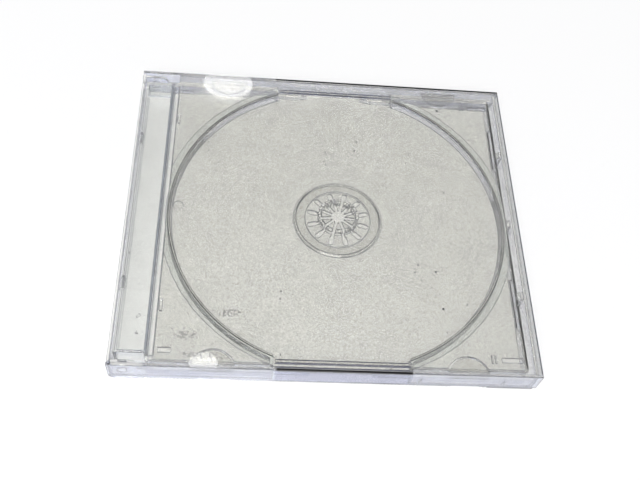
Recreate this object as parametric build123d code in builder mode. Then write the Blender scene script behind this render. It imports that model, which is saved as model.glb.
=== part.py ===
from build123d import *
from math import sqrt
import os

os.makedirs("parts", exist_ok=True)

# A clear jewel case for one disc, closed, in millimetres. The origin is on the table under
# the middle of the case. The spine with the hinge is at -X, the opening edge at +X, and the
# lid is on top, at +Z. The lid, the base and the tray are one moulding each. The case is
# 142 long, 125 wide and 10 high, which adds up from the disc and what lies around it.
disc_diameter = 120.0
disc_hole = 15.0
disc_thickness = 1.2
disc_headroom = 1.3
well_gap = 0.4
well_rear_margin = 2.8
well_front_margin = 6.0
well_side_margin = 2.1

# Lid
lid_plate = 1.2
lid_side = 1.2
strip_gap = 1.8
side_gap = 0.3
ledge_gap = 0.1
plate_gap = 0.3
arm_top_round = 1.2
arm_bottom_round = 2.5
booklet_gap = 1.5
tab_thickness = 0.9
tab_half_width = 6.8
tab_reach = 6.3
tab_rear_setback = 19.2
tab_front_setback = 24.2
tab_gap = 0.6
stop_length = 4.0
stop_thickness = 1.0
stop_drop = 1.5
stop_offset = 40.0
stop_setback = 0.6
snap_radius = 0.6
snap_rise = 0.25
snap_gap = 0.3
snap_end_gap = 0.5
snap_setbacks = (12.0, 40.0)

# Hinge
hinge_inset = 4.7
pin_diameter = 3.0
pin_length = 1.4
pin_gap = 0.05
pin_chamfer = 0.3
toe_reach = 6.3
swing_gap = 0.5
lug_reach = 4.8
lug_rise = 4.0
lug_round = 2.5

# Base
floor_thickness = 1.1
spine_thickness = 1.2
spine_drop = 0.2
end_thickness = 1.2
end_setback = 1.0
base_wall = 1.1
base_wall_gap = 0.4
ledge_setback = 0.1
rib_pitch = 1.25
rib_depth = 0.4
rib_tail = 2.7
thumb_notch = 10.0
hook_width = 3.0
hook_offset = 31.0
hook_lip = 0.6
hook_gap = 0.05
hook_lip_edge = 0.3
hook_slope = 1.2
hook_rise = 1.4
latch_width = 4.0
latch_depth = 0.7
latch_drop = 3.1
latch_thickness = 0.8
latch_gap = 0.3
spine_corner = 0.8

# Tray
tray_plate = 1.0
tray_skirt = 1.0
tray_side_gap = 0.4
tray_rear_gap = 0.3
tray_front_gap = 1.4
tray_corner = 1.5
card_gap = 1.9
strip_width = 10.9
strip_end_gap = 2.4
strip_drop = 0.6
strip_round = 0.5
step_width = 1.9
step_rise = 0.4
well_floor = 1.0
well_draft = 0.4
rim_rise = 0.6
rim_width = 0.8
rim_slope = 2.8
finger_gap_half = 22.7
finger_gap_margin = 0.3
slot_width = 0.8
slot_length = 20.0
slot_offset = 34.0
window_width = 1.6
window_edge = 4.3
front_window_length = 7.0
front_window_setback = 5.2
rear_window_length = 4.0
rear_window_setback = 5.1
rib_height = 0.4
rib_length = 3.0
rib_spacing = 1.2
rib_thickness = 0.5
rib_setback = 11.6
mark_diameter = 3.6
mark_depth = 0.15
mark_inset = 2.4
mark_side = 3.2

# Hub of the tray, in radii from the middle of the disc
hub_gap = 0.2
hub_seat = 15.4
hub_seat_rise = 0.8
hub_slope = 0.9
hub_inner = 12.0
hub_crown_wall = 1.0
hub_crown_rise = 1.2
hub_bead = 0.4
hub_centre = 2.4
petal_drop = 1.0
petal_plate = 0.6
finger_count = 12
finger_plate = 0.9
finger_sink = 0.3
finger_root = 0.4
finger_slot = 0.9
finger_opening = 1.6
finger_opening_start = 0.5
finger_opening_end = 0.6

# Sizes and places along the case, across it and up it that follow from the sizes above
well_radius = disc_diameter / 2 + well_gap
rear_length = spine_thickness + tray_rear_gap + strip_width + well_rear_margin
case_length = rear_length + 2 * well_radius + well_front_margin
spine_x = -case_length / 2
front_x = case_length / 2
end_x = front_x - end_setback
end_inner_x = end_x - end_thickness
spine_inner_x = spine_x + spine_thickness
tray_rear_x = spine_inner_x + tray_rear_gap
tray_front_x = end_inner_x - tray_front_gap
tray_inner_x = tray_front_x - tray_skirt
stop_reach = tray_front_gap - hook_gap
strip_front_x = tray_rear_x + strip_width
strip_hollow = strip_width - 2 * tray_skirt
plate_start_x = strip_front_x - tray_skirt
plate_x = strip_front_x + strip_gap
disc_x = spine_x + rear_length + well_radius
gap_start_x = disc_x - finger_gap_half
gap_end_x = disc_x + finger_gap_half
gap_floor = 2 * (finger_gap_half + tray_skirt)
tab_places = (plate_x + tab_rear_setback, front_x - tab_front_setback)
snap_places = [front_x - setback for setback in snap_setbacks]

side_y = well_radius + well_side_margin
lid_inner_y = side_y - lid_side
base_y = lid_inner_y - side_gap
base_inner_y = base_y - base_wall
ledge_y = side_y - ledge_setback
tray_y = base_inner_y - tray_side_gap
strip_y = base_inner_y - strip_end_gap
snap_y = lid_inner_y + snap_radius - snap_rise
tab_radius = (tab_half_width**2 + tab_reach**2) / (2 * tab_reach)
tab_circle_y = lid_inner_y - tab_reach + tab_radius
gap_inner_y = sqrt(well_radius**2 - finger_gap_half**2) - finger_gap_margin
cheek_start_y = sqrt((well_radius + rim_width / 2) ** 2 - (finger_gap_half + tray_skirt / 2) ** 2)

well_under = floor_thickness + card_gap
well_top = well_under + well_floor
seat_top = well_top + hub_seat_rise
disc_top = seat_top + disc_thickness
crown_top = disc_top + hub_crown_rise
finger_under = seat_top - finger_sink - finger_plate
rim_top = disc_top + disc_headroom
tray_plate_top = rim_top - rim_rise
plate_under = tray_plate_top - tray_plate
lid_under = rim_top + booklet_gap
case_height = lid_under + lid_plate
spine_top = case_height - spine_drop
strip_top = case_height - strip_drop
latch_top = strip_top - latch_drop
tab_under = rim_top - tab_thickness
base_wall_top = tab_under - base_wall_gap
lid_wall_bottom = floor_thickness + ledge_gap

# The pins are at half the height, so that the open lid lies on the table too. The arms of
# the lid swing about them, so the ledges of the base start outside the toes of the arms.
hinge_x = spine_x + hinge_inset
hinge_height = case_height / 2
toe_radius = sqrt(toe_reach**2 + hinge_height**2)
toe_step_x = hinge_x + sqrt(toe_radius**2 - (hinge_height - lid_wall_bottom) ** 2)
swing_radius = toe_radius + swing_gap
ledge_start_x = hinge_x + sqrt(swing_radius**2 - (hinge_height - floor_thickness) ** 2)
lug_x = hinge_x + lug_reach
lug_top = hinge_height + lug_rise

# The hub, in radii from its own axis
hub_crown = disc_hole / 2 - hub_gap
opening_start = hub_crown + finger_opening_start
opening_end = hub_inner - finger_opening_end
half_finger = 180 / finger_count
hub_axis = Axis((disc_x, 0, 0), (0, 0, 1))
hub_plane = Plane(origin=(disc_x, 0, 0), x_dir=(1, 0, 0), z_dir=(0, -1, 0))
hub_slot_plane = Plane(origin=(disc_x, 0, finger_under), x_dir=(1, 0, 0), z_dir=(0, 0, 1))


def ribbed_edge(start, end):
    """Points along a ribbed stretch of the +Y ledge: one small V groove after another."""
    count = max(round((end - start) / rib_pitch), 1)
    pitch = (end - start) / count
    points = [(start, ledge_y)]
    for rib in range(count):
        points.append((start + (rib + 0.5) * pitch, ledge_y - rib_depth))
        points.append((start + (rib + 1) * pitch, ledge_y))
    return points


def floor_outline():
    """Outline of the base's floor: narrow between the hinge arms, then with the two ledges."""
    half = [(spine_x, base_y), (ledge_start_x, base_y)]
    stretch_start = ledge_start_x
    for place in tab_places:
        half += ribbed_edge(stretch_start, place - thumb_notch / 2)
        half += [(place - thumb_notch / 2, base_y), (place + thumb_notch / 2, base_y)]
        stretch_start = place + thumb_notch / 2
    half += ribbed_edge(stretch_start, stretch_start + rib_tail)
    half += [(end_x, ledge_y)]
    return half + [(x, -y) for x, y in reversed(half)]


# Base: floor with ribbed ledges, spine wall, front wall and low side walls inside the lid's
with BuildPart() as base:
    with BuildSketch(Plane.XY):
        with BuildLine():
            Polyline(*floor_outline(), close=True)
        make_face()
    extrude(amount=floor_thickness)

    with BuildSketch(Plane.XY):
        with Locations((spine_x, 0)):
            Rectangle(spine_thickness, 2 * base_y, align=(Align.MIN, Align.CENTER))
    extrude(amount=spine_top)

    with BuildSketch(Plane.XY):
        with Locations((end_inner_x, 0)):
            Rectangle(end_thickness, 2 * base_y, align=(Align.MIN, Align.CENTER))
    extrude(amount=lid_under - plate_gap)

    # Side wall at +Y, in two stretches with the finger gap between them. It rises at the spine
    # into the lug that holds the lid's pin.
    with BuildSketch(Plane.XZ.offset(-base_y)):
        with BuildLine():
            Polyline(
                (spine_x, 0),
                (gap_start_x, 0),
                (gap_start_x, base_wall_top),
                (lug_x, base_wall_top),
                (lug_x, lug_top),
                (spine_x, lug_top),
                close=True,
            )
        make_face()
        lug_corner = vertices().group_by(Axis.Y)[-1].sort_by(Axis.X)[-1]
        fillet(lug_corner, radius=min(lug_round, lug_rise - pin_diameter / 2))
        with Locations((gap_end_x, 0)):
            Rectangle(end_x - gap_end_x, base_wall_top, align=(Align.MIN, Align.MIN))
        with Locations((hinge_x, hinge_height)):
            Circle(pin_diameter / 2 + pin_gap, mode=Mode.SUBTRACT)
    extrude(amount=base_wall)

    # Grooves that the lid's snap ridges click into
    with BuildSketch(Plane.XY.offset(floor_thickness)):
        with Locations(*[(place, snap_y) for place in snap_places]):
            Circle(snap_radius + snap_gap)
    extrude(amount=base_wall_top - floor_thickness, mode=Mode.SUBTRACT)
    mirror(about=Plane.XZ)

    # Two hooks on the front wall, over the tray's front edge, and a plain stop between them
    with BuildSketch(Plane.XY.offset(floor_thickness)):
        with Locations((tray_front_x + hook_gap, 0)):
            Rectangle(stop_reach, hook_width, align=(Align.MIN, Align.CENTER))
    extrude(amount=tray_plate_top - floor_thickness)
    for hook_y in (-hook_offset, hook_offset):
        with BuildSketch(Plane.XZ.offset(-hook_y - hook_width / 2)):
            with BuildLine():
                Polyline(
                    (end_x - end_thickness / 2, floor_thickness),
                    (tray_front_x + hook_gap, floor_thickness),
                    (tray_front_x + hook_gap, tray_plate_top + hook_gap),
                    (tray_front_x - hook_lip, tray_plate_top + hook_gap),
                    (tray_front_x - hook_lip, tray_plate_top + hook_gap + hook_lip_edge),
                    (tray_front_x - hook_lip + hook_slope, tray_plate_top + hook_rise),
                    (end_x - end_thickness / 2, tray_plate_top + hook_rise),
                    close=True,
                )
            make_face()
        extrude(amount=hook_width)

    # Latches on the spine wall, in windows of the tray's strip
    with BuildSketch(Plane.XY.offset(latch_top)):
        with Locations((spine_inner_x, -hook_offset), (spine_inner_x, hook_offset)):
            Rectangle(latch_depth, latch_width, align=(Align.MIN, Align.CENTER))
    extrude(amount=-latch_thickness)

    fillet(base.edges().filter_by(Axis.Z).group_by(Axis.X)[0], radius=spine_corner)

base.part.label = "base"
export_step(base.part, "parts/base.step")


# Lid: top plate from the strip to the opening edge, with a side wall along each long edge
with BuildPart() as lid:
    with BuildSketch(Plane.XY.offset(lid_under)):
        with Locations((plate_x, 0)):
            Rectangle(front_x - plate_x, 2 * side_y, align=(Align.MIN, Align.CENTER))
    extrude(amount=lid_plate)

    # Side wall at +Y. It runs on past the plate as the hinge arm, rounded at the spine.
    with BuildSketch(Plane.XZ.offset(-side_y)):
        with BuildLine():
            Polyline(
                (spine_x, 0),
                (hinge_x + toe_reach, 0),
                (toe_step_x, lid_wall_bottom),
                (front_x, lid_wall_bottom),
                (front_x, case_height),
                (spine_x, case_height),
                close=True,
            )
        make_face()
        spine_corners = vertices().group_by(Axis.X)[0].sort_by(Axis.Y)
        fillet(spine_corners[0], radius=arm_bottom_round)
        fillet(spine_corners[1], radius=arm_top_round)
    extrude(amount=lid_side)

    # Pin, moulded on the inside of the arm
    with BuildSketch(Plane.XZ.offset(-lid_inner_y)):
        with Locations((hinge_x, hinge_height)):
            Circle(pin_diameter / 2)
    extrude(amount=pin_length)
    pin_end = lid.faces().filter_by(Axis.Y).sort_by(Axis.Y)[0]
    chamfer(pin_end.edges(), length=pin_chamfer)

    # Half-moon tabs that hold the booklet against the plate
    with BuildSketch(Plane.XY.offset(tab_under)):
        for place in tab_places:
            with BuildLine():
                ThreePointArc(
                    (place - tab_half_width, lid_inner_y),
                    (place, lid_inner_y - tab_reach),
                    (place + tab_half_width, lid_inner_y),
                )
                Line((place + tab_half_width, lid_inner_y), (place - tab_half_width, lid_inner_y))
            make_face()
    extrude(amount=tab_thickness)

    # Stop for the booklet's inner edge, and the ridges that snap the lid shut
    with BuildSketch(Plane.XY.offset(lid_under)):
        with Locations((plate_x + stop_setback, stop_offset)):
            Rectangle(stop_thickness, stop_length, align=(Align.MIN, Align.CENTER))
    extrude(amount=-stop_drop)
    with BuildSketch(Plane.XY.offset(lid_wall_bottom + snap_end_gap)):
        with Locations(*[(place, snap_y) for place in snap_places]):
            Circle(snap_radius)
    extrude(amount=base_wall_top - lid_wall_bottom - 2 * snap_end_gap)
    mirror(about=Plane.XZ)

lid.part.label = "lid"
export_step(lid.part, "parts/lid.step")


# Tray: raised plate around the disc well, with a strip beside the spine and the hub
with BuildPart() as tray:
    # Plate and skirt, open in the middle for the well
    with BuildSketch(Plane.XY.offset(floor_thickness)) as tray_outline:
        with Locations((plate_start_x, 0)):
            Rectangle(tray_front_x - plate_start_x, 2 * tray_y, align=(Align.MIN, Align.CENTER))
        fillet(vertices(), radius=tray_corner)
    extrude(amount=tray_plate_top - floor_thickness)
    with BuildSketch(Plane.XY.offset(floor_thickness)):
        with Locations((strip_front_x, 0)):
            Rectangle(tray_inner_x - strip_front_x, 2 * (tray_y - tray_skirt), align=(Align.MIN, Align.CENTER))
    extrude(amount=plate_under - floor_thickness, mode=Mode.SUBTRACT)
    with BuildSketch(Plane.XY.offset(floor_thickness)):
        with Locations((disc_x, 0)):
            Circle(well_radius)
    extrude(amount=tray_plate_top - floor_thickness, mode=Mode.SUBTRACT)

    # Disc well: floor with the seat around the hub, wall, and rim with its sloped outer side
    with BuildSketch(hub_plane):
        with BuildLine():
            Polyline(
                (hub_inner, well_under),
                (well_radius + rim_width, well_under),
                (well_radius + rim_width, plate_under),
                (well_radius + rim_width + rim_slope, plate_under),
                (well_radius + rim_width + rim_slope, tray_plate_top),
                (well_radius + rim_width, rim_top),
                (well_radius, rim_top),
                (well_radius - well_draft, well_top),
                (hub_seat + hub_slope, well_top),
                (hub_seat, seat_top),
                (hub_inner, seat_top),
                close=True,
            )
        make_face()
    revolve(axis=hub_axis)
    extrude(tray_outline.sketch, amount=rim_top - floor_thickness, mode=Mode.INTERSECT)

    # Finger gaps at both long sides, where the rim, the plate and the skirt are cut down to
    # the floor of the well
    with BuildSketch(Plane.XY.offset(well_top)):
        with Locations((disc_x, gap_inner_y)):
            Rectangle(2 * finger_gap_half, tray_y - gap_inner_y, align=(Align.CENTER, Align.MIN))
        mirror(about=Plane.XZ)
    extrude(amount=rim_top - well_top, mode=Mode.SUBTRACT)
    with BuildSketch(Plane.XY.offset(well_under)):
        with Locations((disc_x, gap_inner_y)):
            Rectangle(gap_floor, tray_y - gap_inner_y, align=(Align.CENTER, Align.MIN))
        mirror(about=Plane.XZ)
    extrude(amount=well_floor)
    with BuildSketch(Plane.XY.offset(well_under)):
        for cheek_x in (gap_start_x - tray_skirt / 2, gap_end_x + tray_skirt / 2):
            with Locations((cheek_x, cheek_start_y)):
                Rectangle(tray_skirt, tray_y - cheek_start_y, align=(Align.CENTER, Align.MIN))
        mirror(about=Plane.XZ)
    extrude(amount=tray_plate_top - well_under)

    # Low step along the strip's foot
    with BuildSketch(Plane.XY.offset(tray_plate_top)):
        with Locations((strip_front_x, 0)):
            Rectangle(step_width, 2 * strip_y, align=(Align.MIN, Align.CENTER))
    extrude(amount=step_rise)

    # Strip beside the spine, hollow from below
    with BuildSketch(Plane.XY.offset(floor_thickness)):
        with Locations((tray_rear_x, 0)):
            Rectangle(strip_width, 2 * strip_y, align=(Align.MIN, Align.CENTER))
    extrude(amount=strip_top - floor_thickness)
    fillet(tray.faces().sort_by(Axis.Z)[-1].edges(), radius=strip_round)
    with BuildSketch(Plane.XY.offset(floor_thickness)):
        with Locations((tray_rear_x + tray_skirt, 0)):
            Rectangle(strip_hollow, 2 * (strip_y - tray_skirt), align=(Align.MIN, Align.CENTER))
    extrude(amount=strip_top - tray_plate - floor_thickness, mode=Mode.SUBTRACT)

    # Windows in the strip's rear wall for the latches of the spine wall
    with BuildSketch(Plane.XY.offset(latch_top + latch_gap)):
        with Locations((tray_rear_x, -hook_offset), (tray_rear_x, hook_offset)):
            Rectangle(tray_skirt, latch_width + 2 * latch_gap, align=(Align.MIN, Align.CENTER))
    extrude(amount=-latch_thickness - 2 * latch_gap, mode=Mode.SUBTRACT)

    # Windows near the four corners, and the slots that free the two snap stretches in front
    with BuildSketch(Plane.XY.offset(tray_plate_top)):
        with Locations((tray_front_x - front_window_setback, tray_y - window_edge)):
            Rectangle(front_window_length, window_width)
        with Locations((strip_front_x + rear_window_setback, tray_y - window_edge)):
            Rectangle(rear_window_length, window_width)
        with Locations((tray_inner_x - slot_width / 2, slot_offset)):
            Rectangle(slot_width, slot_length)
        mirror(about=Plane.XZ)
    extrude(amount=-tray_plate, mode=Mode.SUBTRACT)

    # Pair of short ribs at both front corners
    with BuildSketch(Plane.XY.offset(tray_plate_top)):
        with Locations((tray_front_x - rib_setback, tray_y - window_edge)):
            with GridLocations(rib_spacing, 0, 2, 1):
                Rectangle(rib_thickness, rib_length)
        mirror(about=Plane.XZ)
    extrude(amount=rib_height)

    # Half-moon cut-outs around the lid's tabs, through the plate and the top of the skirt
    with BuildSketch(Plane.XY.offset(plate_under)):
        with Locations(*[(place, tab_circle_y) for place in tab_places]):
            Circle(tab_radius + tab_gap)
        mirror(about=Plane.XZ)
    extrude(amount=rim_top - plate_under, mode=Mode.SUBTRACT)

    # Hub: a plate and a crown under and inside the disc, cut into fingers that bend inwards
    with BuildSketch(hub_plane):
        with BuildLine():
            Polyline(
                (hub_inner + finger_root, finger_under),
                (hub_inner + finger_root, finger_under + finger_plate),
                (hub_crown, finger_under + finger_plate),
                (hub_crown, disc_top),
                (hub_crown + hub_bead, disc_top + hub_bead),
                (hub_crown, disc_top + 2 * hub_bead),
                (hub_crown - hub_crown_wall, crown_top),
                (hub_centre, crown_top - petal_drop),
                (hub_centre, crown_top - petal_drop - petal_plate),
                (hub_crown - hub_crown_wall, crown_top - petal_plate),
                (hub_crown - hub_crown_wall, finger_under),
                close=True,
            )
        make_face()
    revolve(axis=hub_axis)
    with BuildSketch(hub_slot_plane):
        with PolarLocations((hub_centre + opening_start) / 2, finger_count, half_finger):
            Rectangle(opening_start - hub_centre + 2 * finger_slot, finger_slot)
        with PolarLocations((opening_start + opening_end) / 2, finger_count, half_finger):
            SlotOverall(opening_end - opening_start, finger_opening)
    extrude(amount=crown_top - finger_under, mode=Mode.SUBTRACT)

    # Shallow round mark that an ejector pin left in the floor of the well
    with BuildSketch(Plane.XY.offset(well_top)):
        with Locations((disc_x - well_radius + mark_inset, mark_side)):
            Circle(mark_diameter / 2)
    extrude(amount=-mark_depth, mode=Mode.SUBTRACT)

tray.part.label = "tray"
export_step(tray.part, "parts/tray.step")
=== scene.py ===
import bmesh
import bpy
from math import radians
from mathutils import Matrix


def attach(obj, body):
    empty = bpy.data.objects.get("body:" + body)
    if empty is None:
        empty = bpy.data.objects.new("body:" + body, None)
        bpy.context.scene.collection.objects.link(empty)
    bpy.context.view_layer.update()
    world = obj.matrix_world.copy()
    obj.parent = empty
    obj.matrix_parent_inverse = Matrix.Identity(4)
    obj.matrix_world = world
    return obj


# A closed clear jewel case for one disc, lying flat on a white table and seen from above its
# long near side, with the spine at the left. It is three mouldings: a base, a disc tray pressed
# into it, and a lid that turns on two pins. Everything is in metres, in the frame of the CAD.
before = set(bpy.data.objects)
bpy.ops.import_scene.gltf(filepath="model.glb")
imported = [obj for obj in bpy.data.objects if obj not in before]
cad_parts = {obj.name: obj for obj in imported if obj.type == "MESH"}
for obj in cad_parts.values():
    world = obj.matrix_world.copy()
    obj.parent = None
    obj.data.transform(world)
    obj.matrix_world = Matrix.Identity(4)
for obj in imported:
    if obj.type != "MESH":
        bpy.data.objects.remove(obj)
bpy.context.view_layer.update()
scene = bpy.context.scene
scene.view_settings.view_transform = "Standard"
MM = 0.001


# Camera, fitted to the outline of the case in the photograph. It stands near the middle of
# the long side and looks down at the case.
camera = bpy.data.objects.new("camera", bpy.data.cameras.new("camera"))
scene.collection.objects.link(camera)
camera.location = (-0.0304, -0.1720, 0.2611)
camera.rotation_euler = (radians(32.33), radians(-5.87), radians(-0.73))
camera.data.sensor_width = 36.0
camera.data.lens = 47.67
camera.data.clip_start = 0.01
scene.camera = camera


# Table: a plain sheet of matt white board. It is lit like the case. Part of what the camera
# sees of it, directly or in and through the plastic, is its own white, so it looks white. That
# white is a little stronger in a pool in front of the case, a painted pool of light.
def linear(colour):
    """The linear red, green, blue and alpha of an sRGB colour written as hex."""
    parts = [int(colour[i:i + 2], 16) / 255 for i in (0, 2, 4)]
    return [c / 12.92 if c <= 0.04045 else ((c + 0.055) / 1.055) ** 2.4 for c in parts] + [1.0]


def add_node(tree, kind, settings=None, inputs=None):
    """Adds a node. Settings are its own properties, and an input is a value or a socket."""
    node = tree.nodes.new(kind)
    for name, value in (settings or {}).items():
        setattr(node, name, value)
    for name, value in (inputs or {}).items():
        if isinstance(value, bpy.types.NodeSocket):
            tree.links.new(value, node.inputs[name])
        else:
            node.inputs[name].default_value = value
    return node


def new_material(name):
    """An empty node material with its Object coordinates, named place, and its output."""
    material = bpy.data.materials.new(name)
    material.use_nodes = True
    material.node_tree.nodes.clear()
    add_node(material.node_tree, "ShaderNodeTexCoord", {"name": "place"})
    return material, add_node(material.node_tree, "ShaderNodeOutputMaterial")


table_gap = 0.1 * MM
table_size = 3.0
own_white = 0.7
# Painted pool of light: near the case the table's own white is stronger
pool_middle = (-0.05, -0.12, 0.0)
pool_inner, pool_outer = 0.08, 0.15
painted_pool_glow = 1.13
table_white, table_out = new_material("matt_white_board")
tree = table_white.node_tree
board = add_node(tree, "ShaderNodeBsdfDiffuse", inputs={"Color": linear("F8F8F8")})
away = add_node(tree, "ShaderNodeVectorMath", {"operation": "DISTANCE"},
                {0: tree.nodes["place"].outputs["Object"], 1: pool_middle})
pool = add_node(tree, "ShaderNodeMapRange", inputs={
    "Value": away.outputs["Value"], "From Min": pool_inner, "From Max": pool_outer,
    "To Min": painted_pool_glow, "To Max": 1.0})
glow = add_node(tree, "ShaderNodeEmission", inputs={
    "Color": linear("FFFFFF"), "Strength": pool.outputs[0]})
rays = add_node(tree, "ShaderNodeLightPath")
seen = add_node(tree, "ShaderNodeMath", {"operation": "MAXIMUM"},
                {0: rays.outputs["Is Camera Ray"], 1: rays.outputs["Is Glossy Ray"]})
seen_too = add_node(tree, "ShaderNodeMath", {"operation": "MAXIMUM"},
                    {0: seen.outputs[0], 1: rays.outputs["Is Transmission Ray"]})
share = add_node(tree, "ShaderNodeMath", {"operation": "MULTIPLY"},
                 {0: seen_too.outputs[0], 1: own_white})
mixed = add_node(tree, "ShaderNodeMixShader",
                 inputs={0: share.outputs[0], 1: board.outputs[0], 2: glow.outputs[0]})
tree.links.new(mixed.outputs[0], table_out.inputs["Surface"])

shape = bmesh.new()
bmesh.ops.create_grid(shape, x_segments=1, y_segments=1, size=table_size / 2)
bmesh.ops.translate(shape, verts=shape.verts, vec=(0, 0, -table_gap))
table = bpy.data.objects.new("table", bpy.data.meshes.new("table"))
shape.to_mesh(table.data)
shape.free()
table.data.materials.append(table_white)
scene.collection.objects.link(table)


# Light: a room whose walls are brighter than its ceiling, so that upright faces of the plastic
# look light, and one wide soft lamp above and in front of the case. Two small lamps behind it
# leave a white patch each, on the far edge beside the spine and on the near edge.
room_walls = 0.9
room_ceiling = 0.26
walls_end, ceiling_start = 0.2, 0.7
world = bpy.data.worlds.new("room")
scene.world = world
world.use_nodes = True
tree = world.node_tree
direction = add_node(tree, "ShaderNodeTexCoord").outputs["Generated"]
height = add_node(tree, "ShaderNodeSeparateXYZ", inputs={0: direction})
brightness = add_node(tree, "ShaderNodeMapRange", {"interpolation_type": "SMOOTHSTEP"}, {
    "Value": height.outputs["Z"], "From Min": walls_end, "From Max": ceiling_start,
    "To Min": room_walls, "To Max": room_ceiling})
tree.links.new(brightness.outputs[0], tree.nodes["Background"].inputs["Strength"])
tree.nodes["Background"].inputs["Color"].default_value = linear("EFF0F6")

for name, outline, size, watts, location, tilt in (
        ("soft_lamp", "SQUARE", (0.9, 0.9), 20.0, (-0.20, -0.80, 1.10), (36.0, -10.0)),
        ("far_lamp", "ELLIPSE", (0.07, 0.04), 0.026, (-0.058, 0.668, 0.674), (-42.0, 0.0)),
        ("near_lamp", "ELLIPSE", (0.033, 0.024), 0.007, (-0.0669, 0.2331, 0.674),
         (-24.0, 0.0))):
    lamp = bpy.data.objects.new(name, bpy.data.lights.new(name, "AREA"))
    scene.collection.objects.link(lamp)
    lamp.data.shape = outline
    lamp.data.size, lamp.data.size_y = size
    lamp.data.energy = watts
    lamp.location = location
    lamp.rotation_euler = (radians(tilt[0]), radians(tilt[1]), 0)

# Light passes up to six walls of clear plastic on its way down to the table and six on its
# way back, so a path may turn at more surfaces than Blender allows at first. The table under
# the case gets its light through the plastic, which stays sharp for that light too.
most_turns = 128
scene.cycles.max_bounces = most_turns
scene.cycles.transmission_bounces = most_turns
scene.cycles.glossy_bounces = most_turns
scene.cycles.blur_glossy = 0.0


# Base: the lower shell, a flat plate with low walls along its long sides. It is crystal clear
# polystyrene, moulded in a polished tool: glass-like, with a high index for a plastic. Seen
# edge on, through a wall, the plastic has a faint blue cast, and its slopes and walls carry
# painted shade with it. Handling leaves a thin haze.
polystyrene_index = 1.59
clear_tint = "F9F9F7"
slope_cast_and_shade = "E6EBE8"
steep, sloping = 0.4, 0.7


def clear_polystyrene(name, wall_cast_and_shade, haze):
    """Clear plastic with a cast and painted shade on slopes and walls, and that much haze at
    most.
    """
    material, out = new_material(name)
    tree = material.node_tree
    place = tree.nodes["place"].outputs["Object"]

    # The cast and the painted shade go by how level a face is, from 0 for an upright one to 1
    # for a flat one
    normal = add_node(tree, "ShaderNodeNewGeometry").outputs["True Normal"]
    faces = add_node(tree, "ShaderNodeSeparateXYZ", inputs={0: normal})
    flat = add_node(tree, "ShaderNodeMath", {"name": "flat", "operation": "ABSOLUTE"},
                    {0: faces.outputs["Z"]})
    add_node(tree, "ShaderNodeMath", {"name": "upward", "operation": "GREATER_THAN"},
             {0: faces.outputs["Z"], 1: 0.9})
    cast = add_node(tree, "ShaderNodeValToRGB", inputs={0: flat.outputs[0]})
    stops = cast.color_ramp.elements
    stops[0].position, stops[0].color = 0.55, linear(wall_cast_and_shade)
    stops[1].position, stops[1].color = 0.995, linear(clear_tint)
    for position in (0.7, 0.985):
        stops.new(position).color = linear(slope_cast_and_shade)

    # Haze: grain 0.7 mm across, which is coarser than the real one so that it shows, in
    # patches about 20 mm across, and scuffs 0.25 mm wide and 12 mm long in two directions
    layers = []
    for across, detail, full in ((0.7 * MM, 2.0, 0.65), (20 * MM, 3.0, 0.7)):
        grain = add_node(tree, "ShaderNodeTexNoise", inputs={
            "Vector": place, "Scale": 1 / across, "Detail": detail})
        layers.append(add_node(tree, "ShaderNodeMapRange", inputs={
            "Value": grain.outputs[0], "From Min": 0.4, "From Max": full,
            "To Min": 0.0, "To Max": haze}))
    scuff_size = (12 * MM, 0.25 * MM, 4 * MM)
    scuff_haze = 0.14
    for turn in (24, -52):
        laid = add_node(tree, "ShaderNodeMapping", inputs={
            "Vector": place, "Rotation": (0, 0, radians(turn)),
            "Scale": [1 / size for size in scuff_size]})
        scuffs = add_node(tree, "ShaderNodeTexNoise", inputs={
            "Vector": laid.outputs[0], "Scale": 1.0, "Detail": 0.0})
        layers.append(add_node(tree, "ShaderNodeMapRange", inputs={
            "Value": scuffs.outputs[0], "From Min": 0.80, "From Max": 0.86,
            "To Min": 0.0, "To Max": scuff_haze}))
    cloud = layers[0]
    for layer in layers[1:]:
        cloud = add_node(tree, "ShaderNodeMath", {"operation": "ADD"},
                         {0: cloud.outputs[0], 1: layer.outputs[0]})
    clear = add_node(tree, "ShaderNodeMath", {"operation": "SUBTRACT"},
                     {0: 1.0, 1: cloud.outputs[0]})
    plastic = add_node(tree, "ShaderNodeBsdfPrincipled", {"name": "plastic"}, {
        "Base Color": cast.outputs[0], "Roughness": 0.02, "IOR": polystyrene_index,
        "Transmission Weight": clear.outputs[0]})
    tree.links.new(plastic.outputs[0], out.inputs["Surface"])
    return material


def lay_over(material, amount, colour, blocked=0.0):
    """Gives the plastic a colour where the amount is 1, and blocks a share of the light."""
    tree = material.node_tree
    tint, clear = (tree.nodes["plastic"].inputs[name] for name in
                   ("Base Color", "Transmission Weight"))
    under = tint.links[0].from_socket if tint.links else list(tint.default_value)
    mixed = add_node(tree, "ShaderNodeMix", {"data_type": "RGBA"},
                     {0: amount, 6: under, 7: linear(colour)})
    tree.links.new(mixed.outputs[2], tint)
    if blocked:
        lost = add_node(tree, "ShaderNodeMath", {"operation": "MULTIPLY"},
                        {0: amount, 1: blocked})
        left = add_node(tree, "ShaderNodeMath", {"operation": "SUBTRACT", "use_clamp": True},
                        {0: clear.links[0].from_socket if clear.links else clear.default_value,
                         1: lost.outputs[0]})
        tree.links.new(left.outputs[0], clear)


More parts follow.
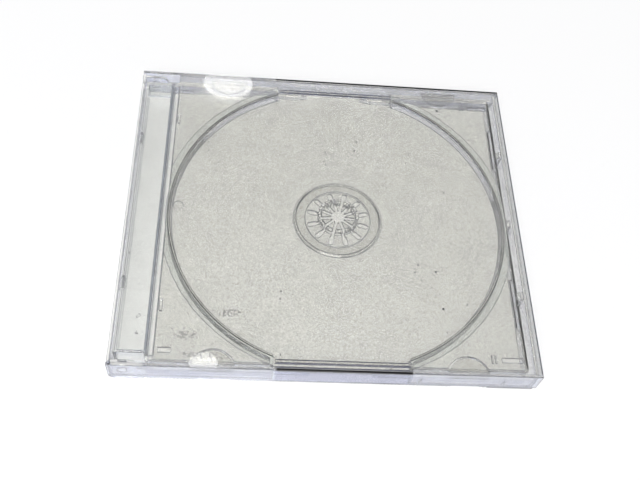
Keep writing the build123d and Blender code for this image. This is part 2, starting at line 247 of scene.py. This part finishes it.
def frost_walls(material, frost, clear_inside=None):
    """Walls keep the tool's drawing marks, a white frost that passes less light. It is full on
    steep faces and gone where they are only sloping, and a part of the piece can stay clear."""
    tree = material.node_tree
    level = tree.nodes["flat"].outputs[0]
    frosty = add_node(tree, "ShaderNodeMapRange", inputs={
        "Value": level, "From Min": steep, "From Max": sloping,
        "To Min": frost, "To Max": 0.0})
    if clear_inside:
        frosty = add_node(tree, "ShaderNodeMath", {"operation": "SUBTRACT", "use_clamp": True},
                          {0: frosty.outputs[0], 1: clear_inside})
    lay_over(material, frosty.outputs[0], "F5F6FA", 1.0)

    # The marks are streaks 30 mm long and 0.5 mm high
    mark_size = (30 * MM, 30 * MM, 0.5 * MM)
    drawn = add_node(tree, "ShaderNodeMapping", inputs={
        "Vector": tree.nodes["place"].outputs["Object"],
        "Scale": [1 / size for size in mark_size]})
    marks = add_node(tree, "ShaderNodeTexNoise", inputs={
        "Vector": drawn.outputs[0], "Scale": 1.0, "Detail": 1.0})
    dark = add_node(tree, "ShaderNodeMapRange", inputs={
        "Value": marks.outputs[0], "From Min": 0.52, "From Max": 0.66})
    upright = add_node(tree, "ShaderNodeMath", {"operation": "LESS_THAN"},
                       {0: level, 1: steep})
    streaks = add_node(tree, "ShaderNodeMath", {"operation": "MULTIPLY"},
                       {0: dark.outputs[0], 1: upright.outputs[0]})
    lay_over(material, streaks.outputs[0], "D6D9E6")


def shaded_edge_polystyrene(name, colour):
    """The edges of a moulding are slightly round. Light that enters one is led away inside the
    wall, and that dark look is painted: an edge is a fine line of painted shade with a blue
    cast, rubbed in patches 5 mm across."""
    material, out = new_material(name)
    tree = material.node_tree
    wear = add_node(tree, "ShaderNodeTexNoise", inputs={
        "Vector": tree.nodes["place"].outputs["Object"], "Scale": 1 / (5 * MM), "Detail": 3.0})
    rubbed = add_node(tree, "ShaderNodeMapRange", inputs={
        "Value": wear.outputs[0], "From Min": 0.4, "From Max": 0.7,
        "To Min": 0.02, "To Max": 0.12})
    plastic = add_node(tree, "ShaderNodeBsdfPrincipled", {"name": "plastic"}, {
        "Base Color": linear(colour), "Roughness": rubbed.outputs[0],
        "IOR": polystyrene_index, "Transmission Weight": 1.0})
    tree.links.new(plastic.outputs[0], out.inputs["Surface"])
    return material


def finish_moulding(moulding, faces, edges, shrinkage):
    """Gives a CAD piece its two materials and its soft edges. Plastic shrinks as it cools, so
    where two mouldings touch, a film of air is left between them, as their gloss shows."""
    moulding.data.materials.clear()
    moulding.data.materials.append(faces)
    moulding.data.materials.append(edges)
    weld = moulding.modifiers.new("weld", "WELD")
    weld.merge_threshold = 0.001 * MM
    merge = moulding.modifiers.new("one_face_a_plane", "DECIMATE")
    merge.decimate_type = "DISSOLVE"
    merge.angle_limit = radians(0.6)
    merge.delimit = set()
    cooled = moulding.modifiers.new("shrinkage", "DISPLACE")
    cooled.mid_level = 0.0
    cooled.strength = -shrinkage
    soften = moulding.modifiers.new("soft_edges", "BEVEL")
    soften.width = 0.15 * MM
    soften.segments = 2
    soften.limit_method = "ANGLE"
    soften.angle_limit = radians(11.5)
    soften.use_clamp_overlap = False
    soften.material = 1
    shading = moulding.modifiers.new("flat_faces_stay_flat", "WEIGHTED_NORMAL")
    shading.mode = "FACE_AREA"
    shading.weight = 50
    shading.keep_sharp = False


base_edge = shaded_edge_polystyrene("base_edge_polystyrene", "8A8C94")
base_plastic = clear_polystyrene("base_polystyrene", "FBFBFE", 0.02)
frost_walls(base_plastic, 0.02)
finish_moulding(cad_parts["base"], base_plastic, base_edge, 0.02 * MM)


# Tray: the thin plate that carries the disc, with the ring round the disc's well and the hub
# of twelve fingers in its middle. It is pressed into the base. It is clear polystyrene like
# the base, frosted on its skirts outside the ring, with a few specks of dust.
dirt_grey = "4C4A46"


def dust_specks(material, share):
    """Dust: dark specks 0.3 mm across with soft rims, on faces that look up. The face is cut
    into cells 4 mm across, and a share of them hold a speck."""
    tree = material.node_tree
    cell_size = 4 * MM
    cells = add_node(tree, "ShaderNodeTexVoronoi", {"voronoi_dimensions": "2D"}, {
        "Vector": tree.nodes["place"].outputs["Object"], "Scale": 1 / cell_size})
    specks = add_node(tree, "ShaderNodeMapRange", inputs={
        "Value": cells.outputs["Distance"], "From Min": 0.04, "From Max": 0.08,
        "To Min": 0.9, "To Max": 0.0})
    draw = add_node(tree, "ShaderNodeSeparateColor", inputs={0: cells.outputs["Color"]})
    chosen = add_node(tree, "ShaderNodeMath", {"operation": "LESS_THAN"},
                      {0: draw.outputs[0], 1: share})
    for mask in (chosen, tree.nodes["upward"]):
        specks = add_node(tree, "ShaderNodeMath", {"operation": "MULTIPLY"},
                          {0: specks.outputs[0], 1: mask.outputs[0]})
    lay_over(material, specks.outputs[0], dirt_grey, 1.0)


def smear_dirt(material, middle, reach):
    """Grey spots of dirt about 1 mm across, gathered round a place and fewer away from it."""
    tree = material.node_tree
    place = tree.nodes["place"].outputs["Object"]
    spot_size = 0.8 * MM
    offset = add_node(tree, "ShaderNodeVectorMath", {"operation": "SUBTRACT"},
                      {0: place, 1: middle})
    scaled = add_node(tree, "ShaderNodeVectorMath", {"operation": "DIVIDE"},
                      {0: offset.outputs[0], 1: reach})
    away = add_node(tree, "ShaderNodeVectorMath", {"operation": "LENGTH"},
                    {0: scaled.outputs[0]})
    near = add_node(tree, "ShaderNodeMapRange", inputs={
        "Value": away.outputs["Value"], "From Min": 0.3, "From Max": 1.0,
        "To Min": 0.22, "To Max": 0.0})
    blots = add_node(tree, "ShaderNodeTexNoise", inputs={
        "Vector": place, "Scale": 1 / spot_size, "Detail": 2.0, "Roughness": 0.5})
    gathered = add_node(tree, "ShaderNodeMath", {"operation": "ADD"},
                        {0: blots.outputs[0], 1: near.outputs[0]})
    spots = add_node(tree, "ShaderNodeMapRange", inputs={
        "Value": gathered.outputs[0], "From Min": 0.74, "From Max": 0.82,
        "To Min": 0.0, "To Max": 0.7})
    on_top = add_node(tree, "ShaderNodeMath", {"operation": "MULTIPLY"},
                      {0: spots.outputs[0], 1: tree.nodes["upward"].outputs[0]})
    lay_over(material, on_top.outputs[0], dirt_grey, 1.0)


def paint_edge_shade(material, along, across, height, start, end, reach, colour, blocked=0.0):
    """Paints the shade of an edge or a rim, which leads light away down the wall under it, as a
    dark line of painted shade. The line runs along one axis from start to end, at a place
    across it and a height."""
    tree = material.node_tree
    other = {"X": "Y", "Y": "X"}[along]
    soft, fade = 0.1 * MM, 1 * MM
    spot = add_node(tree, "ShaderNodeSeparateXYZ",
                    inputs={0: tree.nodes["place"].outputs["Object"]})
    aside = add_node(tree, "ShaderNodeMath", {"operation": "SUBTRACT"},
                     {0: spot.outputs[other], 1: across})
    above = add_node(tree, "ShaderNodeMath", {"operation": "SUBTRACT"},
                     {0: spot.outputs["Z"], 1: height})
    offset = add_node(tree, "ShaderNodeCombineXYZ", inputs={
        "Y": aside.outputs[0], "Z": above.outputs[0]})
    off = add_node(tree, "ShaderNodeVectorMath", {"operation": "LENGTH"},
                   {0: offset.outputs[0]})
    line = add_node(tree, "ShaderNodeMapRange", inputs={
        "Value": off.outputs["Value"], "From Min": reach - soft, "From Max": reach + soft,
        "To Min": 1.0, "To Max": 0.0})
    for here, there in ((start, start + fade), (end, end - fade)):
        within = add_node(tree, "ShaderNodeMapRange", inputs={
            "Value": spot.outputs[along], "From Min": here, "From Max": there})
        line = add_node(tree, "ShaderNodeMath", {"operation": "MULTIPLY"},
                        {0: line.outputs[0], 1: within.outputs[0]})
    lay_over(material, line.outputs[0], colour, blocked)


def between_radii(tree, radius, low, high, soft):
    """1 between two radii, falling to 0 over a short way outside them."""
    masks = [add_node(tree, "ShaderNodeMapRange", inputs={
        "Value": radius, "From Min": edge - way, "From Max": edge})
        for edge, way in ((low, soft), (high, -soft))]
    return add_node(tree, "ShaderNodeMath", {"operation": "MULTIPLY"},
                    {0: masks[0].outputs[0], 1: masks[1].outputs[0]}).outputs[0]


disc_centre = (4.6 * MM, 0, 0)
well_edge = 62.5 * MM
ring_lines = ((60.15 * MM, 60.6 * MM), (61.0 * MM, 61.3 * MM))
ring_low = 7.1 * MM
hub_foot = 16.2 * MM
hub_rim = (12.0 * MM, 15.4 * MM)
hub_rim_line = (15.3 * MM, 15.5 * MM)
crown_reach = 8.4 * MM
strip_end = -58.6 * MM
strip_top = 9.4 * MM
strip_middle = -62.6 * MM
strip_spots = ((-44.3 * MM, 1.6 * MM), (-50.5 * MM, 1.0 * MM))
plate_top = 6.7 * MM
plate_end = 67.4 * MM
edge_inset = 0.5 * MM
slot_side = 65.6 * MM
slot_starts = (-44.0 * MM, 24.0 * MM)
slot_length = 20.0 * MM
tray_plastic = clear_polystyrene("tray_polystyrene", "F4F5FB", 0.04)
tray_edge = shaded_edge_polystyrene("tray_edge_polystyrene", "8A8C94")
for material in (tray_plastic, tray_edge):
    tree = material.node_tree
    place = tree.nodes["place"].outputs["Object"]
    spot = add_node(tree, "ShaderNodeSeparateXYZ", inputs={0: place})
    in_plan = add_node(tree, "ShaderNodeVectorMath", {"operation": "MULTIPLY"},
                       {0: place, 1: (1, 1, 0)})
    radius = add_node(tree, "ShaderNodeVectorMath", {"operation": "DISTANCE"},
                      {0: in_plan.outputs[0], 1: disc_centre}).outputs["Value"]
    if material == tray_plastic:
        lay_over(material, between_radii(tree, radius, 0, hub_foot, 0.1 * MM), clear_tint)
        # Painted shade: the band inside the rim of the hub is a little grey
        lay_over(material, between_radii(tree, radius, *hub_rim, 0.2 * MM), "ECECE9")
        over_strip = add_node(tree, "ShaderNodeMath", {"operation": "LESS_THAN"},
                              {0: spot.outputs["X"], 1: strip_end})
        lay_over(material, over_strip.outputs[0], "F2F3F1")
        frost_walls(material, 0.05, between_radii(tree, radius, 0, well_edge, 0.1 * MM))
        dust_specks(material, 0.01)
        for y, length in strip_spots:
            smear_dirt(material, (strip_middle, y, strip_top), (1.2 * MM, length, 5 * MM))
    else:
        # Painted shade: the edges of the hub's crown are dark grey
        lay_over(material, between_radii(tree, radius, 0, crown_reach, 0.2 * MM), "4A4C52")

    # Painted shade lines: the rim of the hub, the two edges of the ring above its slope, and
    # the edges of the strip, of the plate and of the two slots in it
    lay_over(material, between_radii(tree, radius, *hub_rim_line, 0.15 * MM), "4A4C50")
    raised = add_node(tree, "ShaderNodeMath", {"operation": "GREATER_THAN"},
                      {0: spot.outputs["Z"], 1: ring_low})
    for low, high in ring_lines:
        line = add_node(tree, "ShaderNodeMath", {"operation": "MULTIPLY"}, {
            0: between_radii(tree, radius, low, high, 0.12 * MM), 1: raised.outputs[0]})
        lay_over(material, line.outputs[0], "101410", 0.9)
    paint_edge_shade(material, "Y", strip_end - edge_inset, strip_top, -58 * MM, 60 * MM, 0.45 * MM,
              "7C828E")
    paint_edge_shade(material, "Y", plate_end - edge_inset, plate_top, -59 * MM, 59 * MM, 0.4 * MM,
              "121412", 0.7)
    for start in slot_starts:
        paint_edge_shade(material, "Y", slot_side, plate_top, start, start + slot_length, 0.6 * MM,
                  "34363C", 0.9)
finish_moulding(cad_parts["tray"], tray_plastic, tray_edge, 0.01 * MM)


# Lips: where the ring is left open for the fingers, the plate of the tray is a little thicker
# along its long edges. The lips are moulded with the tray, of the same clear polystyrene. Their
# rounded edges throw the light aside, and that dark look is painted shade: on their edges and
# in two lines along each lip.
lip_rise = 0.3 * MM
lip_sunk = 0.02 * MM
lip_inner, lip_outer = 57.4 * MM, 59.2 * MM
lip_start, lip_end = -17.6 * MM, 27.6 * MM
lip_rounding = 0.2 * MM
shape = bmesh.new()
for side in (-1, 1):
    lip = bmesh.ops.create_cube(shape, size=1.0)["verts"]
    bmesh.ops.scale(shape, verts=lip, vec=(lip_end - lip_start, lip_outer - lip_inner,
                                           lip_rise + lip_sunk))
    bmesh.ops.translate(shape, verts=lip, vec=(
        (lip_start + lip_end) / 2, side * (lip_inner + lip_outer) / 2,
        plate_top + (lip_rise - lip_sunk) / 2))
bmesh.ops.bevel(shape, geom=[edge for edge in shape.edges
                             if min(vert.co.z for vert in edge.verts) > plate_top],
                offset=lip_rounding, affect="EDGES", segments=2, profile=0.5, material=1)
lips = bpy.data.objects.new("finger_gap_lips", bpy.data.meshes.new("finger_gap_lips"))
shape.to_mesh(lips.data)
shape.free()
# Painted shade: the lips' edges are dark and pass less light
lip_edge = shaded_edge_polystyrene("lip_edge_polystyrene", "50546E")
lip_edge.node_tree.nodes["plastic"].inputs["Transmission Weight"].default_value = 0.4
for material in (tray_plastic, lip_edge):
    lips.data.materials.append(material)
    for y, reach, colour in ((lip_inner, 0.5 * MM, "383C58"), (lip_outer, 0.7 * MM, "5C6078")):
        for side in (-1, 1):
            paint_edge_shade(material, "X", side * y, plate_top + lip_rise, lip_start, lip_end,
                      reach, colour, 0.7)
scene.collection.objects.link(lips)
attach(lips, "base")


# Lid: the upper shell, of the same polystyrene, a flat plate with walls along its long sides,
# whose arms end in the pins that it turns on. It is the piece that is handled, so it has the
# most haze, a rubbed top, specks of dust, three dots and grey smears of dirt near the spine.
lid_top = 10.0 * MM
lid_side = 62.5 * MM
lid_end = 71.0 * MM
lid_wall = 1.2 * MM
gap_start, gap_end = -18 * MM, 28 * MM
front_start, front_end = -62 * MM, 62 * MM
rub_size = 0.45 * MM
lid_plastic = clear_polystyrene("lid_polystyrene", "DDE2F6", 0.06)
lid_edge = shaded_edge_polystyrene("lid_edge_polystyrene", "A6A8AE")
tree = lid_plastic.node_tree
place = tree.nodes["place"].outputs["Object"]
grain = add_node(tree, "ShaderNodeTexNoise", inputs={
    "Vector": place, "Scale": 1 / rub_size, "Detail": 0.0})
rubbed = add_node(tree, "ShaderNodeMapRange", inputs={
    "Value": grain.outputs[0], "From Min": 0.42, "From Max": 0.60})
lay_over(lid_plastic, rubbed.outputs[0], "E6E5E0")
frost_walls(lid_plastic, 0.1)
dust_specks(lid_plastic, 0.02)
for x, y, far_x, far_y in ((-33, -42.5, 9, 2.6), (-42, -58, 14, 2.2), (-47, -51, 8, 3.6)):
    smear_dirt(lid_plastic, (x * MM, y * MM, lid_top), (far_x * MM, far_y * MM, 10 * MM))
for x, y, reach in ((38.1, -23.7, 0.45), (39.4, -38.2, 0.55), (44.9, 50.5, 0.7)):
    away = add_node(tree, "ShaderNodeVectorMath", {"operation": "DISTANCE"},
                    {0: place, 1: (x * MM, y * MM, lid_top)})
    dot = add_node(tree, "ShaderNodeMapRange", inputs={
        "Value": away.outputs["Value"], "From Min": 0.5 * reach * MM,
        "From Max": reach * MM, "To Min": 1.0, "To Max": 0.0})
    lay_over(lid_plastic, dot.outputs[0], "101010", 1.0)

# Painted shade lines: along the finger gap on the near wall's outer and inner edge, on the far
# edge, and a pale and a dark one at the front. The last is the broad painted shade of the gap
# on the wall.
for material in (lid_plastic, lid_edge):
    for line in (
            ("X", -lid_side, lid_top, gap_start, gap_end, 0.75 * MM, "08080C", 1.0),
            ("X", -lid_side + lid_wall, lid_top - lid_wall, gap_start, gap_end, 0.45 * MM,
             "40445C", 0.7),
            ("X", lid_side, lid_top, -20 * MM, 72 * MM, 0.9 * MM, "08080C", 1.0),
            ("Y", lid_end - 1.1 * MM, lid_top, front_start, front_end, 1.0 * MM, "BCBEC0"),
            ("Y", lid_end, lid_top, front_start, front_end, 0.5 * MM, "50545C", 0.6),
            ("X", -lid_side, lid_top / 2, gap_start, gap_end, 3.8 * MM, "C2C5D8")):
        paint_edge_shade(material, *line)
finish_moulding(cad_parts["lid"], lid_plastic, lid_edge, 0.0)
